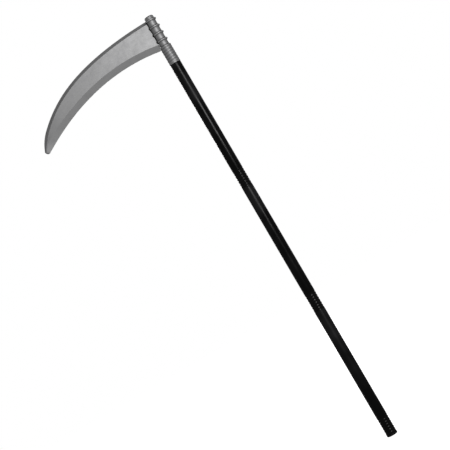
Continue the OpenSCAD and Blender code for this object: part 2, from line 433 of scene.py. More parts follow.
    shine = nodes.new("NodeFrame")
    shine.label = "shine: smudges, rubbed ridges"
    smudges = nodes.new("ShaderNodeTexNoise")
    smudges.label = "finger smudges"
    smudges.inputs["Scale"].default_value = 45
    smudges.inputs["Detail"].default_value = 6
    smudges.inputs["Roughness"].default_value = 0.6
    smudges.inputs["Distortion"].default_value = 0.4
    dullness = nodes.new("ShaderNodeMapRange")
    dullness.label = "smudges dull the gloss"
    dullness.inputs["From Min"].default_value = 0.3
    dullness.inputs["From Max"].default_value = 0.7
    dullness.inputs["To Min"].default_value = roughness - 0.04
    dullness.inputs["To Max"].default_value = roughness + 0.05
    polish = nodes.new("ShaderNodeMath")
    polish.label = "rubbing polishes"
    polish.operation = "MULTIPLY_ADD"
    polish.inputs[1].default_value = -0.08
    for node, spot in (
        (smudges, (-900, -1150)), (dullness, (-650, -1150)), (polish, (-350, -1100)),
    ):
        node.parent = shine
        node.location = spot
    links.new(place.outputs["Object"], smudges.inputs["Vector"])
    links.new(smudges.outputs["Fac"], dullness.inputs["Value"])
    links.new(paled.outputs["Value"], polish.inputs[0])
    links.new(dullness.outputs["Result"], polish.inputs[2])
    links.new(polish.outputs["Value"], plastic.inputs["Roughness"])

    relief = nodes.new("NodeFrame")
    relief.label = "relief: mould grain and sink"
    grain = nodes.new("ShaderNodeTexNoise")
    grain.label = "fine mould grain"
    grain.inputs["Scale"].default_value = 1500
    grain.inputs["Detail"].default_value = 3
    sink = nodes.new("ShaderNodeTexNoise")
    sink.label = "slow waves of shrinkage"
    sink.inputs["Scale"].default_value = 38
    sink.inputs["Detail"].default_value = 2
    wavy = nodes.new("ShaderNodeBump")
    wavy.label = "waves under the grain"
    wavy.inputs["Strength"].default_value = 0.06
    wavy.inputs["Distance"].default_value = 0.0006
    grainy = nodes.new("ShaderNodeBump")
    grainy.label = "grain on top"
    grainy.inputs["Strength"].default_value = 0.05
    grainy.inputs["Distance"].default_value = 0.00015
    for node, spot in (
        (grain, (-900, -1450)), (sink, (-900, -1700)), (wavy, (500, -700)), (grainy, (750, -600)),
    ):
        node.parent = relief
        node.location = spot
    links.new(place.outputs["Object"], grain.inputs["Vector"])
    links.new(place.outputs["Object"], sink.inputs["Vector"])
    links.new(sink.outputs["Fac"], wavy.inputs["Height"])
    links.new(grain.outputs["Fac"], grainy.inputs["Height"])
    links.new(wavy.outputs["Normal"], grainy.inputs["Normal"])
    links.new(grainy.outputs["Normal"], plastic.inputs["Normal"])
    return material


def moulded_black(name, grey, roughness, draw, dust):
    """Black plastic: draw lines along the pole, fine scuffs, dust in the grooves and greyed ribs.

    draw is how strongly the draw lines show, and dust how pale the grooves are."""
    material = bpy.data.materials.new(name)
    material.use_nodes = True
    tree = material.node_tree
    nodes = tree.nodes
    links = tree.links
    nodes.clear()

    out = nodes.new("ShaderNodeOutputMaterial")
    out.location = (1400, 0)
    plastic = nodes.new("ShaderNodeBsdfPrincipled")
    plastic.label = "black plastic"
    plastic.location = (1100, 0)
    plastic.inputs["Specular IOR Level"].default_value = 0.2
    links.new(plastic.outputs["BSDF"], out.inputs["Surface"])

    place = nodes.new("ShaderNodeTexCoord")
    place.label = "place on the piece"
    place.location = (-1300, 0)

    lines = nodes.new("NodeFrame")
    lines.label = "draw lines along the pole"
    squeeze = nodes.new("ShaderNodeMapping")
    squeeze.label = "long along Z"
    squeeze.inputs["Scale"].default_value = (1, 1, 0.02)
    drawn = nodes.new("ShaderNodeTexNoise")
    drawn.label = "draw lines"
    drawn.inputs["Scale"].default_value = 900
    drawn.inputs["Detail"].default_value = 3
    for node, spot in (
        (squeeze, (-1100, 300)), (drawn, (-900, 300)),
    ):
        node.parent = lines
        node.location = spot
    links.new(place.outputs["Object"], squeeze.inputs["Vector"])
    links.new(squeeze.outputs["Vector"], drawn.inputs["Vector"])

    handling = nodes.new("NodeFrame")
    handling.label = "handling: scuffs, dust, greyed ribs"
    scuff_turn = nodes.new("ShaderNodeMapping")
    scuff_turn.label = "scuffs run round the pole"
    scuff_turn.inputs["Rotation"].default_value = (0.3, 0.15, 0)
    scuff_turn.inputs["Scale"].default_value = (1, 1, 9)
    scuffs = nodes.new("ShaderNodeTexNoise")
    scuffs.label = "fine scuffs"
    scuffs.inputs["Scale"].default_value = 240
    scuffs.inputs["Detail"].default_value = 6
    scuffs.inputs["Roughness"].default_value = 0.7
    scuff_edge = nodes.new("ShaderNodeMapRange")
    scuff_edge.label = "only the sharpest show"
    scuff_edge.inputs["From Min"].default_value = 0.64
    scuff_edge.inputs["From Max"].default_value = 0.74
    zones = nodes.new("ShaderNodeTexNoise")
    zones.label = "where hands have been"
    zones.inputs["Scale"].default_value = 14
    zones.inputs["Detail"].default_value = 2
    zone_edge = nodes.new("ShaderNodeMapRange")
    zone_edge.label = "zones with soft edges"
    zone_edge.inputs["From Min"].default_value = 0.4
    zone_edge.inputs["From Max"].default_value = 0.65
    scuffed = nodes.new("ShaderNodeMath")
    scuffed.label = "scuffs in those zones"
    scuffed.operation = "MULTIPLY"
    ridge = nodes.new("ShaderNodeAttribute")
    ridge.label = "how near a ridge"
    ridge.attribute_name = "wear"
    greyed = nodes.new("ShaderNodeMath")
    greyed.label = "scuffs and rubbed ridges"
    greyed.operation = "MAXIMUM"
    rub_patches = nodes.new("ShaderNodeMath")
    rub_patches.label = "ridges rub in patches"
    rub_patches.operation = "MULTIPLY"
    hollow = nodes.new("ShaderNodeAttribute")
    hollow.label = "how deep in a groove"
    hollow.attribute_name = "recess"
    hollow_tint = nodes.new("ShaderNodeMath")
    hollow_tint.label = "dust that lies there"
    hollow_tint.operation = "MULTIPLY"
    hollow_tint.inputs[1].default_value = dust
    paled_colour = nodes.new("ShaderNodeMix")
    paled_colour.label = "scuffs grey the black"
    paled_colour.data_type = "RGBA"
    paled_colour.inputs["A"].default_value = (grey, grey, grey * 1.05, 1)
    paled_colour.inputs["B"].default_value = (0.025, 0.025, 0.026, 1)
    dusty_colour = nodes.new("ShaderNodeMix")
    dusty_colour.label = "dust pales the grooves"
    dusty_colour.data_type = "RGBA"
    dusty_colour.inputs["B"].default_value = (0.16, 0.15, 0.135, 1)
    for node, spot in (
        (scuff_turn, (-1100, -50)), (scuffs, (-900, -50)), (scuff_edge, (-700, -50)),
        (zones, (-900, -300)), (zone_edge, (-700, -300)), (scuffed, (-500, -150)),
        (ridge, (-900, -550)), (greyed, (-300, -300)), (rub_patches, (-500, -450)),
        (hollow, (-900, -800)), (hollow_tint, (-500, -750)), (paled_colour, (100, 100)),
        (dusty_colour, (350, 50)),
    ):
        node.parent = handling
        node.location = spot
    links.new(place.outputs["Object"], scuff_turn.inputs["Vector"])
    links.new(scuff_turn.outputs["Vector"], scuffs.inputs["Vector"])
    links.new(place.outputs["Object"], zones.inputs["Vector"])
    links.new(scuffs.outputs["Fac"], scuff_edge.inputs["Value"])
    links.new(zones.outputs["Fac"], zone_edge.inputs["Value"])
    links.new(scuff_edge.outputs["Result"], scuffed.inputs[0])
    links.new(zone_edge.outputs["Result"], scuffed.inputs[1])
    links.new(ridge.outputs["Fac"], rub_patches.inputs[0])
    links.new(zone_edge.outputs["Result"], rub_patches.inputs[1])
    links.new(scuffed.outputs["Value"], greyed.inputs[0])
    links.new(rub_patches.outputs["Value"], greyed.inputs[1])
    links.new(greyed.outputs["Value"], paled_colour.inputs["Factor"])
    links.new(hollow.outputs["Fac"], hollow_tint.inputs[0])
    links.new(hollow_tint.outputs["Value"], dusty_colour.inputs["Factor"])
    links.new(paled_colour.outputs["Result"], dusty_colour.inputs["A"])
    links.new(dusty_colour.outputs["Result"], plastic.inputs["Base Color"])

    shine = nodes.new("NodeFrame")
    shine.label = "shine: smears and scuffs"
    smears = nodes.new("ShaderNodeTexNoise")
    smears.label = "smears"
    smears.inputs["Scale"].default_value = 55
    smears.inputs["Detail"].default_value = 5
    smears.inputs["Distortion"].default_value = 0.5
    dullness = nodes.new("ShaderNodeMapRange")
    dullness.label = "smears dull the gloss"
    dullness.inputs["From Min"].default_value = 0.3
    dullness.inputs["From Max"].default_value = 0.7
    dullness.inputs["To Min"].default_value = roughness - 0.03
    dullness.inputs["To Max"].default_value = roughness + 0.06
    rough_scuffs = nodes.new("ShaderNodeMath")
    rough_scuffs.label = "scuffs are rough"
    rough_scuffs.operation = "MULTIPLY_ADD"
    rough_scuffs.inputs[1].default_value = 0.25
    rough_dust = nodes.new("ShaderNodeMath")
    rough_dust.label = "dust is rougher"
    rough_dust.operation = "MULTIPLY_ADD"
    rough_dust.inputs[1].default_value = 0.5
    for node, spot in (
        (smears, (-900, -1050)), (dullness, (-650, -1050)), (rough_scuffs, (-350, -1000)),
        (rough_dust, (-100, -1000)),
    ):
        node.parent = shine
        node.location = spot
    links.new(place.outputs["Object"], smears.inputs["Vector"])
    links.new(smears.outputs["Fac"], dullness.inputs["Value"])
    links.new(greyed.outputs["Value"], rough_scuffs.inputs[0])
    links.new(dullness.outputs["Result"], rough_scuffs.inputs[2])
    links.new(hollow_tint.outputs["Value"], rough_dust.inputs[0])
    links.new(rough_scuffs.outputs["Value"], rough_dust.inputs[2])
    links.new(rough_dust.outputs["Value"], plastic.inputs["Roughness"])

    relief = nodes.new("NodeFrame")
    relief.label = "relief: draw lines and grain"
    line_bump = nodes.new("ShaderNodeBump")
    line_bump.label = "draw lines stand up"
    line_bump.inputs["Strength"].default_value = draw
    line_bump.inputs["Distance"].default_value = 0.0001
    grain = nodes.new("ShaderNodeTexNoise")
    grain.label = "fine grain"
    grain.inputs["Scale"].default_value = 1200
    grain.inputs["Detail"].default_value = 3
    grain_bump = nodes.new("ShaderNodeBump")
    grain_bump.label = "grain on top"
    grain_bump.inputs["Strength"].default_value = 0.1
    grain_bump.inputs["Distance"].default_value = 0.0001
    for node, spot in (
        (line_bump, (500, -700)), (grain, (-900, -1300)), (grain_bump, (750, -600)),
    ):
        node.parent = relief
        node.location = spot
    links.new(drawn.outputs["Fac"], line_bump.inputs["Height"])
    links.new(place.outputs["Object"], grain.inputs["Vector"])
    links.new(grain.outputs["Fac"], grain_bump.inputs["Height"])
    links.new(line_bump.outputs["Normal"], grain_bump.inputs["Normal"])
    links.new(grain_bump.outputs["Normal"], plastic.inputs["Normal"])
    return material


# Turned walls with a thread

def groove_share(height, angle, first_groove, groove_half):
    """0 on a rib of the thread and 1 at the bottom of the groove beside it."""
    turns = (height - first_groove) / PITCH - angle / TURN
    off = abs(turns - round(turns)) * PITCH
    return 0.5 + 0.5 * math.cos(math.pi * min(off / groove_half, 1))


def threaded_rows(radius, low, high, depth, wear=0.0):
    """Rows up a threaded stretch of wall, where the thread fades in and out over half a turn."""
    count = round((high - low) / PITCH * ROWS_PER_TURN)
    rows = []
    for step in range(count + 1):
        height = low + (high - low) * step / count
        run = min(1, (height - low) / (0.5 * PITCH), (high - height) / (0.5 * PITCH))
        rows.append(Row(radius, height, depth * run, wear * run))
    return rows


def rounded(corner, before, after, reach, steps=2, wear=0.0):
    """Rows that round off a corner of the profile, from reach before the corner to reach after it."""
    corner, before, after = Vector(corner), Vector(before), Vector(after)
    start = corner + (before - corner).normalized() * reach
    end = corner + (after - corner).normalized() * reach
    rows = []
    for step in range(steps + 1):
        t = step / steps
        point = start.lerp(corner, t).lerp(corner.lerp(end, t), t)
        rows.append(Row(point.x, point.y, 0, wear))
    return rows


def crisp(mesh, angle=34):
    """Smooth faces, with a sharp line where two of them meet at more than the angle, in degrees."""
    mesh.shade_smooth()
    mesh.set_sharp_from_angle(angle=math.radians(angle))


def turned_wall(name, rows, first_groove=0.0, groove_half=GROOVE_HALF):
    """Closed wall turned round the Z axis, with a right-handed thread pressed into its threaded rows.

    Rows run up the outside and down the inside. A thread of positive depth is a groove in towards
    the axis. A negative one, in a bore, is a groove out from it, behind the ribs between the others.
    A row of no radius is the single point where the wall closes on the axis."""
    cage = bmesh.new()
    wear_and_painted_light_layer = cage.verts.layers.float.new("wear")
    recess_layer = cage.verts.layers.float.new("recess")
    rings = []
    for row in rows:
        ring = []
        for step in range(SEGMENTS if row.radius > 0 else 1):
            angle = TURN * step / SEGMENTS
            share = groove_share(row.height, angle, first_groove, groove_half) if row.thread else 0
            radius = row.radius - row.thread * (share if row.thread > 0 else 1 - share)
            point = cage.verts.new((radius * math.cos(angle), radius * math.sin(angle), row.height))
            point[wear_and_painted_light_layer] = row.wear * (1 - share)
            point[recess_layer] = max(row.recess, share * min(1, abs(row.thread) / RIB_DEPTH))
            ring.append(point)
        rings.append(ring)
    closed = rows[0].radius > 0
    for low in range(len(rings) if closed else len(rings) - 1):
        ring, above = rings[low], rings[(low + 1) % len(rings)]
        for step in range(SEGMENTS):
            after = (step + 1) % SEGMENTS
            face = [ring[step % len(ring)], ring[after % len(ring)],
                    above[after % len(above)], above[step % len(above)]]
            cage.faces.new(list(dict.fromkeys(face)))
    mesh = mesh_of(cage, name)
    crisp(mesh)
    return mesh


def show(name, mesh, material, body, node):
    """Puts a finished piece in the scene, on its body, in place of the CAD node it stands for."""
    piece = put_in_scene(name, mesh)
    mesh.materials.append(material)
    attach(piece, body)
    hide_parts(node)
    return piece


# Pole

def make_tube(node, body, material):
    """One section of the pole: thread ribs round its lower end, and the thread itself inside."""
    low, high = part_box(node)[0].z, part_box(node)[1].z
    edge = 0.5 * MM
    first_groove = low + edge + PITCH / 2
    outside = [
        *rounded((POLE_R, low), (BORE_R, low), (POLE_R, high), edge, 3, wear=1),
        *threaded_rows(POLE_R, low + edge, low + edge + THREAD_BAND, RIB_DEPTH, wear=0.4)[1:],
        *rounded((POLE_R, high), (POLE_R, low), (BORE_R, high), edge, 3, wear=1),
    ]
    inside = [
        *rounded((BORE_R, high), (POLE_R, high), (BORE_R, low), edge / 2),
        *threaded_rows(BORE_R, low + edge, low + edge + THREAD_BAND, -BORE_DEPTH)[::-1],
        *rounded((BORE_R, low), (BORE_R, high), (POLE_R, low), edge / 2),
    ]
    mesh = turned_wall(node + "_tube", outside + inside, first_groove, RIB_HALF)
    show(node + "_tube", mesh, material, body, node)
    return first_groove


def make_joiner(node, body, material, first_groove):
    """Threaded joiner: a plain half pressed into the tube below, a stop flange, and a threaded half."""
    low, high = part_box(node)[0].z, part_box(node)[1].z
    seat = low + JOINER_HALF
    flange_top = seat + FLANGE_T
    inner = INSERT_R - JOINER_WALL
    tip = INSERT_R - LEAD_IN
    outside = [
        *rounded((tip, low), (inner, low), (INSERT_R, low + LEAD_LENGTH), 0.2 * MM),
        *rounded((INSERT_R, low + LEAD_LENGTH), (tip, low), (INSERT_R, seat), 0.3 * MM),
        Row(INSERT_R, seat),
        *rounded((FLANGE_R, seat), (INSERT_R, seat), (FLANGE_R, flange_top), 0.2 * MM, wear=1),
        *rounded((FLANGE_R, flange_top), (FLANGE_R, seat), (INSERT_R, flange_top), 0.2 * MM, wear=1),
        Row(INSERT_R, flange_top),
        *threaded_rows(INSERT_R, flange_top + 2 * MM, high - LEAD_LENGTH, THREAD_DEPTH, wear=1),
        *rounded((tip, high), (INSERT_R, high - LEAD_LENGTH), (inner, high), 0.2 * MM),
    ]
    inside = [
        *rounded((inner, high), (INSERT_R, high), (inner, low), 0.3 * MM),
        *rounded((inner, low), (inner, high), (INSERT_R, low), 0.3 * MM),
    ]
    mesh = turned_wall(node + "_thread", outside + inside, first_groove)
    show(node + "_thread", mesh, material, body, node)


def make_foot_plug(material, first_groove):
    """Plug that closes the pole's foot: a rim as wide as the pole, and a hollow threaded stem."""
    rim = FOOT_RIM_TOP
    top = rim + PLUG_DEPTH
    inner = INSERT_R - JOINER_WALL
    tip = INSERT_R - LEAD_IN
    dish = 0.5 * MM
    rows = [
        Row(0, dish),
        Row(POLE_R - 4.2 * MM, dish, 0, 0, 0.5),
        Row(POLE_R - 3.6 * MM, 0.1 * MM),
        Row(POLE_R - 3.2 * MM, 0),
        *rounded((POLE_R, 0), (0, 0), (POLE_R, rim), 0.8 * MM, 4, wear=1),
        *rounded((POLE_R, rim), (POLE_R, 0), (INSERT_R, rim), 0.15 * MM, wear=0.5),
        Row(INSERT_R, rim),
        *threaded_rows(INSERT_R, rim + 0.6 * MM, top - 1 * MM, THREAD_DEPTH, wear=0.5),
        *rounded((tip, top), (INSERT_R, top - 1 * MM), (inner, top), 0.2 * MM),
        *rounded((inner, top), (INSERT_R, top), (inner, rim), 0.3 * MM),
        *rounded((inner, rim), (inner, top), (0, rim), 0.8 * MM, 3),
        Row(0, rim),
    ]
    mesh = turned_wall("foot_plug_cap", rows, first_groove)
    show("foot_plug_cap", mesh, material, "lower_section", "foot_plug")


# Head

def waist_rows(low, high, steps=8):
    """Rows of the neck between two rings, drawn in at the middle, with painted shade at both ends, most at
    the lower one.
    """
    rows = []
    for step in range(steps + 1):
        off = 2 * step / steps - 1
        edge = abs(off) ** 6 * (1.5 if off < 0 else 1)
        rows.append(Row(NECK_R + NECK_FLARE * off * off, low + (high - low) * step / steps, 0, 0, edge))
    return rows


def ring_rows(height):
    """Rows over a ring: it springs from the neck in a tight fillet and has a rounded crest."""
    root = NECK_R + NECK_FLARE
    rise = RING_R - root
    # The fourth values pale the crest and the lower flank and the fifth darken the feet, most above the
    # ring: painted light and painted shade, set against the lamp above.
    return [
        Row(root + 0.25 * rise, height - 2.05 * MM, 0, 0, 0.5),
        Row(root + 0.7 * rise, height - 1.6 * MM, 0, 0.3),
        Row(RING_R - 0.25 * MM, height - 1.05 * MM, 0, 0.9),
        Row(RING_R, height - 0.4 * MM, 0, 1),
        Row(RING_R, height + 0.4 * MM, 0, 0.6),
        Row(RING_R - 0.25 * MM, height + 1.05 * MM, 0, 0, 0.2),
        Row(root + 0.7 * rise, height + 1.6 * MM, 0, 0, 0.8),
        Row(root + 0.25 * rise, height + 2.05 * MM, 0, 0, 1.5),
    ]


def socket_rows():
    """Profile of the socket: a ribbed sleeve over the pole's top, a shoulder, and a ringed hollow neck."""
    sleeve_top = HEAD_Z + SLEEVE_LEN
    edge = 0.4 * MM
    groove = NECK_R - 0.2 * MM
    rows = [
        *rounded((SLEEVE_R, HEAD_Z), (BORE_R, HEAD_Z), (SLEEVE_R, sleeve_top), edge, 3, wear=1),
        *threaded_rows(SLEEVE_R, HEAD_Z + edge, sleeve_top - 1.8 * MM, SLEEVE_DEPTH, wear=0.2)[1:],
        *rounded((SLEEVE_R, sleeve_top), (SLEEVE_R, HEAD_Z), (NECK_R, sleeve_top), 1.5 * MM, 5),
        # The groove at the shoulder takes a strong fifth value: painted shade in that crease.
        Row(groove, sleeve_top, 0, 0, 2),
        Row(groove, sleeve_top + 0.4 * MM, 0, 0, 1.5),
    ]
    rings = [HEAD_Z + FIRST_RING + RING_PITCH * step for step in range(RING_COUNT)]
    foot = sleeve_top + 0.8 * MM
    for height in rings:
        rows += waist_rows(foot, height - RING_FOOT)
        rows += ring_rows(height)
        foot = height + RING_FOOT
    rows += [
        Row(NECK_R + NECK_FLARE, foot, 0, 0, 0.6),
        Row(NECK_R + 0.2 * MM, NECK_TOP, 0, 1.2),
        *rounded((HOLLOW_R, NECK_TOP), (NECK_R, NECK_TOP), (HOLLOW_R, HEAD_Z), 0.2 * MM),
        Row(HOLLOW_R, HEAD_Z + SLEEVE_BORE),
        Row(BORE_R, HEAD_Z + SLEEVE_BORE),
        *threaded_rows(BORE_R, HEAD_Z + edge, HEAD_Z + SLEEVE_BORE - 0.6 * MM, -BORE_DEPTH)[::-1],
        *rounded((BORE_R, HEAD_Z), (BORE_R, HEAD_Z + SLEEVE_BORE), (SLEEVE_R, HEAD_Z), 0.3 * MM),
    ]
    return rows


def block(name, low, high):
    """A helper block between two corners."""
    cage = bmesh.new()
    bmesh.ops.create_cube(cage, size=1)
    low, high = Vector(low), Vector(high)
    for point in cage.verts:
        point.co = Vector([l + (h - l) * (c + 0.5) for l, h, c in zip(low, high, point.co)])
    return put_in_scene(name, mesh_of(cage, name))


def carve(piece, helper, operation):
    """Applies the piece's modifiers and a boolean with a helper, and removes the helper."""
    cut = piece.modifiers.new("cut", "BOOLEAN")
    cut.operation = operation
    cut.solver = "EXACT"
    cut.object = helper
    bpy.context.view_layer.update()
    shaped = bpy.data.meshes.new_from_object(piece.evaluated_get(bpy.context.evaluated_depsgraph_get()))
    piece.modifiers.clear()
    old = piece.data
    piece.data = shaped
    shaped.name = old.name
    bpy.data.meshes.remove(old)
    helper_mesh = helper.data
    bpy.data.objects.remove(helper)
    bpy.data.meshes.remove(helper_mesh)


def make_socket(material):
    """The socket: a slot for the blade in its -X side, flats on the rings, and guides for the tongue.

    Each cut begins and ends a little inside the one before, so that no two share a plane."""
    mesh = turned_wall("blade_socket_moulding", socket_rows(), HEAD_Z + PITCH / 2, RIB_HALF)
    piece = show("blade_socket_moulding", mesh, material, "head", "blade_socket")
    for cut, (name, half, depth) in enumerate((
        ("slot", SLOT_HALF, 0), ("mouth", MOUTH_HALF, MOUTH_X), ("ring flats", RING_R, RING_FLAT_X),
    )):
        low = HEAD_Z + SLOT_FLOOR + cut * CUT_STEP
        high = HEAD_Z + SLOT_TOP - cut * CUT_STEP
        tool = block(name, (-RING_R - (1 + cut) * MM, -half, low), (-depth, half, high))
        carve(piece, tool, "DIFFERENCE")
    guide_in = TONGUE_HALF * MM + GUIDE_GAP
    guide_out = guide_in + GUIDE_WALL
    for side in (-1, 1):
        near, far = sorted((side * guide_in, side * guide_out))
        low = GUIDE_LOW + Vector((0, near, HEAD_Z))
        high = GUIDE_HIGH + Vector((0, far, HEAD_Z))
        carve(piece, block("guide", low, high), "UNION")
    crisp(piece.data)


def make_cap(material):
    """Button that closes the neck: a rounded bead over a groove, and a hollow stem inside."""
    radius = NECK_R + 0.2 * MM
    stem = HOLLOW_R - 0.05 * MM
    depth = 8 * MM
    crown = CAP_TOP - NECK_TOP
    wall = 1.6 * MM
    profile = [
        # In these rows the fifth values darken the top of the bead and the fourth values pale its lower
        # side and the groove under it: painted shade and painted light.
        Row(0, crown, 0, 0, 1.4),
        Row(radius - 4.6 * MM, crown - 0.1 * MM, 0, 0, 1.4),
        Row(radius - 2.6 * MM, crown - 0.5 * MM, 0, 0, 1.4),
        Row(radius - 1.2 * MM, crown - 1.3 * MM, 0, 0, 1.3),
        Row(radius - 0.35 * MM, crown - 2.3 * MM, 0, 0, 0.9),
        Row(radius, crown - 3.3 * MM, 0, 0.5, 0.5),
        Row(radius - 0.05 * MM, crown - 4.1 * MM, 0, 1, 0.2),
        Row(radius - 0.5 * MM, crown - 4.8 * MM, 0, 1.4),
        Row(radius - 1.2 * MM, crown - 5.2 * MM, 0, 1.6),
        Row(radius - 1.2 * MM, 0, 0, 1.6),
        Row(stem, 0),
        Row(stem, 0.8 * MM - depth),
        Row(stem - 0.4 * MM, -depth),
        Row(stem - wall, -depth),
        Row(stem - wall, crown - wall),
        Row(0, crown - wall),
    ]
    mesh = bpy.data.meshes.new("top_cap_button")
    points = [(row.radius, 0, NECK_TOP + row.height) for row in profile]
    mesh.from_pydata(points, [(i, i + 1) for i in range(len(points) - 1)], [])
    recess = mesh.attributes.new("recess", "FLOAT", "POINT")
    wear = mesh.attributes.new("wear", "FLOAT", "POINT")
    for index, row in enumerate(profile):
        recess.data[index].value = row.recess
        wear.data[index].value = row.wear
    piece = show("top_cap_button", mesh, material, "head", "top_cap")
    turn = piece.modifiers.new("turn", "SCREW")
    turn.steps = turn.render_steps = 64
    turn.use_merge_vertices = True
    turn.merge_threshold = 0.01 * MM
    turn.use_smooth_shade = True
    edges = piece.modifiers.new("soft edges", "BEVEL")
    edges.width = 0.15 * MM
    edges.segments = 2
    edges.limit_method = "ANGLE"
    edges.angle_limit = math.radians(40)
    even = piece.modifiers.new("even shading", "WEIGHTED_NORMAL")
    even.keep_sharp = True


# Blade

def spine_drop(u):
    """How far the spine has dropped below its height at the socket."""
    return SPINE_BOW * (u / 100) ** 2 + SPINE_DIVE * (u / 100) ** 5


def edge_height(u):
    """Height of the cutting edge."""
    return BELLY_Z - BELLY_BOW * ((u - BELLY_U) / 100) ** 2


Station = namedtuple("Station", "spine edge ridge edge_half")


def plain_station(spine, edge):
    """A slice of blade between a spine point and an edge point, with its bevels at their full share."""
    width = (spine - edge).length
    return Station(spine, edge, 1 - min(EDGE_BEVEL / width, EDGE_BEVEL_SHARE), EDGE_HALF)


def root_stations():
    """Slices beside the socket: full thickness down to the corner, then the start of the edge's bevel."""
    full = BLADE_HALF / MM
    ridge_z = edge_height(NOTCH_U) + EDGE_BEVEL
    corner_half = EDGE_HALF + (full - EDGE_HALF) * (NOTCH_Z - edge_height(NOTCH_U)) / EDGE_BEVEL
    slices = []
    for top_u, low_u, half in (
        (ROOT_U, ROOT_U, full),
        (LAND_U, LAND_U - 2 * LAND_LEAN, full),
        (LAND_U + LAND_LEAN, LAND_U - LAND_LEAN, corner_half),
        (NOTCH_U - NOTCH_STEP, NOTCH_U - NOTCH_STEP, corner_half),
    ):
        spine = Vector((top_u, SPINE_Z - spine_drop(top_u)))
        edge = Vector((low_u, NOTCH_Z))
        slices.append(Station(spine, edge, (spine.y - ridge_z) / (spine.y - edge.y), half))
    return slices


def blade_slices():
    """All the slices of the blade, from the socket out to the rounded tip."""
    slices = root_stations()
    for step in range(BLADE_STATIONS):
        share = 1 - (1 - step / (BLADE_STATIONS - 1)) ** STATION_CROWDING
        u = NOTCH_U + NOTCH_STEP + (HOOK_U - NOTCH_U) * share
        edge_u = u - EDGE_LAG * math.sin(TURN / 4 * u / HOOK_U) ** 2 if step else u
        spine = Vector((u, SPINE_Z - spine_drop(u)))
        slices.append(plain_station(spine, Vector((edge_u, edge_height(edge_u)))))
    hook_z = SPINE_Z - spine_drop(HOOK_U)
    start = math.radians(HOOK_START)
    for step in range(1, HOOK_STATIONS + 1):
        share = step / HOOK_STATIONS
        angle = math.radians(HOOK_START + (HOOK_END - HOOK_START) * share)
        spine = Vector((HOOK_U - HOOK_R * (math.cos(start) - math.cos(angle)),
                        hook_z - HOOK_R * (math.sin(start) - math.sin(angle))))
        edge_u = HOOK_U - EDGE_LAG + (TIP_U - HOOK_U + EDGE_LAG) * share
        slices.append(plain_station(spine, Vector((edge_u, edge_height(edge_u)))))
    middle = (slices[-1].spine + slices[-1].edge) / 2
    half = (slices[-1].spine - slices[-1].edge) / 2
    out = TIP_BLUNT * Vector((half.y, -half.x))
    for angle in TIP_ANGLES:
        across = math.cos(math.radians(angle)) * half
        along = math.sin(math.radians(angle)) * out
        slices.append(plain_station(middle + across + along, middle - across + along))
    return slices


def slice_loop(cut, hollow):
    """Points round one slice of a shell: how far from spine to edge, and how far from the middle."""
    full = BLADE_HALF / MM
    width = (cut.spine - cut.edge).length
    half = full * min(1, TIP_HALF_SHARE + (1 - TIP_HALF_SHARE) * width / TAPER_WIDTH)
    spine_share = min(SPINE_BEVEL / width, SPINE_BEVEL_SHARE)
    floor = half - SHELL_WALL if hollow else SEAM_GAP
    # The last four points are the hollow's corners. They lie on the seam where the slice is solid.
    return [
        (0, SEAM_GAP),
        (0, min(SPINE_HALF, half - 0.1)),
        (spine_share, half),
        (cut.ridge, half),
        (1, min(cut.edge_half, half)),
        (1, SEAM_GAP),
        (0.45 + 0.55 * cut.ridge, SEAM_GAP),
        (cut.ridge - 0.02, floor),
        (spine_share + 0.02, floor),
        (0.6 * spine_share, SEAM_GAP),
    ]


def blade_point(cut, share, off, side):
    """A point of a slice, in metres in the frame."""
    flat = cut.spine.lerp(cut.edge, share)
    return Vector((-flat.x * MM, side * off * MM, HEAD_Z + flat.y * MM))


def skin(cage, rings, flip):
    """Faces from each ring of points to the next, and one over each end."""
    order = -1 if flip else 1
    for ring, after in zip(rings, rings[1:]):
        for step in range(len(ring)):
            next_step = (step + 1) % len(ring)
            face = [ring[step], ring[next_step], after[next_step], after[step]]
            cage.faces.new(face[::order])
    cage.faces.new(rings[0][::-order])
    cage.faces.new(rings[-1][::order])


def add_loft(cage, slices, side, layers):
    """Skins the shell over its slices, marks its ridges for a soft bevel and notes where it wears."""
    wear_and_painted_light_layer, bevel_layer = layers
    softness = (0.2, 0.5, 1, 1, 0.6, 0.2)
    worn = (0.3, 0.3, 0.3, 0.35, 0.8, 0.8, 0, 0, 0, 0)
    rings = []
    for index, cut in enumerate(slices):
        hollow = SOLID_ROOT_SLICES <= index < len(slices) - SOLID_TIP_SLICES
        loop = slice_loop(cut, hollow)
        ring = [cage.verts.new(blade_point(cut, share, off, side)) for share, off in loop]
        for point, wear in zip(ring, worn):
            point[wear_and_painted_light_layer] = wear
        rings.append(ring)
    skin(cage, rings, side < 0)
    for ring, after in zip(rings, rings[1:]):
        for step, soft in enumerate(softness):
            edge = cage.edges.get((ring[step], after[step]))
            edge[bevel_layer] = soft


def add_tongue(cage, side):
    """Flat tongue that goes into the neck, with its leading end tapered."""
    lead = 2.5
    chamfer = 0.3
    back = -ROOT_U - 0.6
    sections = []
    for x, half, inset in (
        (back, TONGUE_HALF, 0),
        (TONGUE_X - lead, TONGUE_HALF, 0),
        (TONGUE_X - 0.4, TONGUE_HALF - 0.8, 1.2),
        (TONGUE_X, TONGUE_HALF - 1.1, 1.6),
    ):
        low, high = TONGUE_LOW + inset, TONGUE_HIGH - inset
        corners = ((SEAM_GAP, low), (half - chamfer, low), (half, low + chamfer),
                   (half, high - chamfer), (half - chamfer, high), (SEAM_GAP, high))
        sections.append([cage.verts.new((x * MM, side * y * MM, HEAD_Z + z * MM)) for y, z in corners])
    skin(cage, sections, side > 0)


